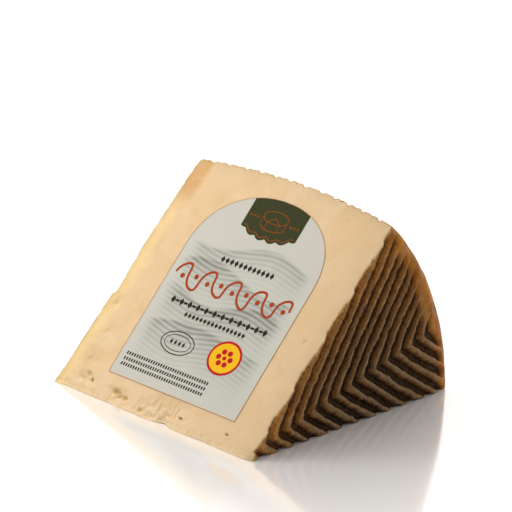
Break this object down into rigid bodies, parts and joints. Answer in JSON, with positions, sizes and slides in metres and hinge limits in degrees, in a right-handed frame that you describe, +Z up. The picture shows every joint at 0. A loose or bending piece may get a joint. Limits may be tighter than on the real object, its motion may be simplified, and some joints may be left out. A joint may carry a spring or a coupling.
{
  "type": "manchego cheese wedge",
  "caption": "Wedge of semi-hard sheep's-milk cheese, an eighth of a small pressed wheel, lying on a cut face, with a herringbone-pressed brown rind and an arched paper label.",
  "frame": {"origin": "middle of the footprint, on the ground plane", "axes": "+Z up from the lower cut face, +Y along the wheel's axis towards the plain-seen far flat end, +X from the thin edge towards the rind"},
  "size_m": [0.102, 0.1046, 0.0726],
  "materials": {
    "cheese": "satin",
    "paper": "matte"
  },
  "bodies": {
    "root": {"wedge": "cheese", "label": "paper"}
  },
  "joints": []
}
